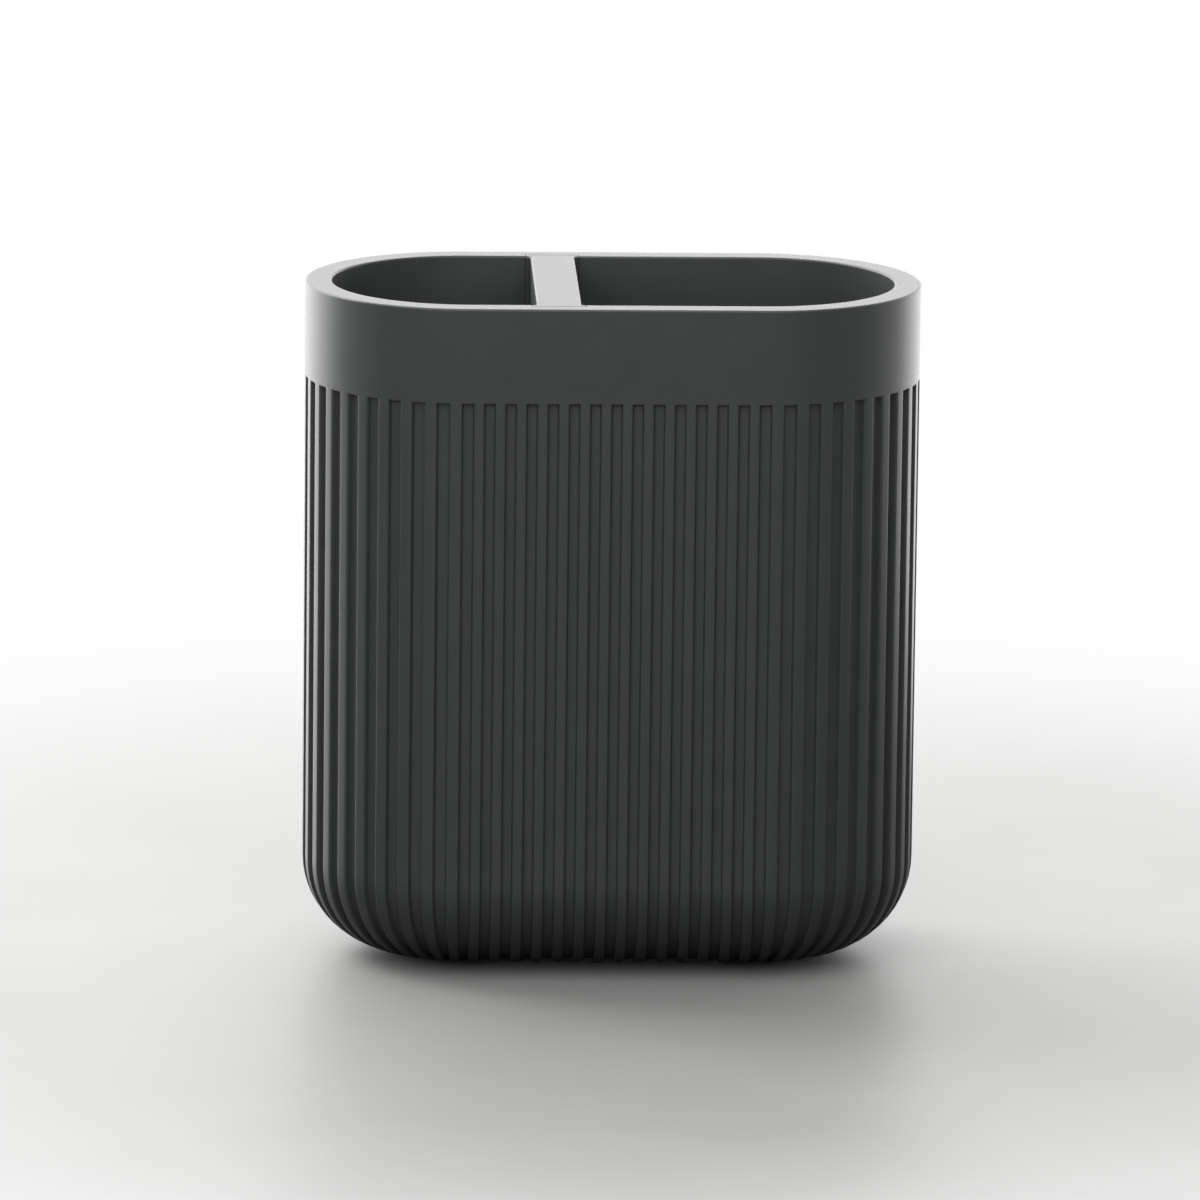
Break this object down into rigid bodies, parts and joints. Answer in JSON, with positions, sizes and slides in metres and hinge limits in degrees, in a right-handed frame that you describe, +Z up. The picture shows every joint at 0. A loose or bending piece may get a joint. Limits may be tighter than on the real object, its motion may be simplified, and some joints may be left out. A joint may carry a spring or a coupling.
{
  "type": "toothbrush holder",
  "caption": "Free-standing ribbed holder with rounded ends, a smooth band at its rim and a lift-out divider that parts it into a small and a large open well.",
  "frame": {"origin": "centre of the footprint, on the surface that the foot pads stand on", "axes": "+X along the holder, towards the large well; +Y from front to back; +Z up"},
  "size_m": [0.108, 0.0566, 0.1203],
  "materials": {
    "cast_resin": "matt charcoal cast resin",
    "pad_rubber": "matt black rubber"
  },
  "bodies": {
    "holder": {"body": "cast_resin", "foot_pad_front_left": "pad_rubber", "foot_pad_rear_left": "pad_rubber", "foot_pad_front_right": "pad_rubber", "foot_pad_rear_right": "pad_rubber"},
    "divider_panel": {"divider": "cast_resin"}
  },
  "joints": [
    {"name": "divider_lift", "type": "slide", "parent": "holder", "child": "divider_panel", "axis": [0, 0, 1], "range_m": [0, 0.118]}
  ]
}
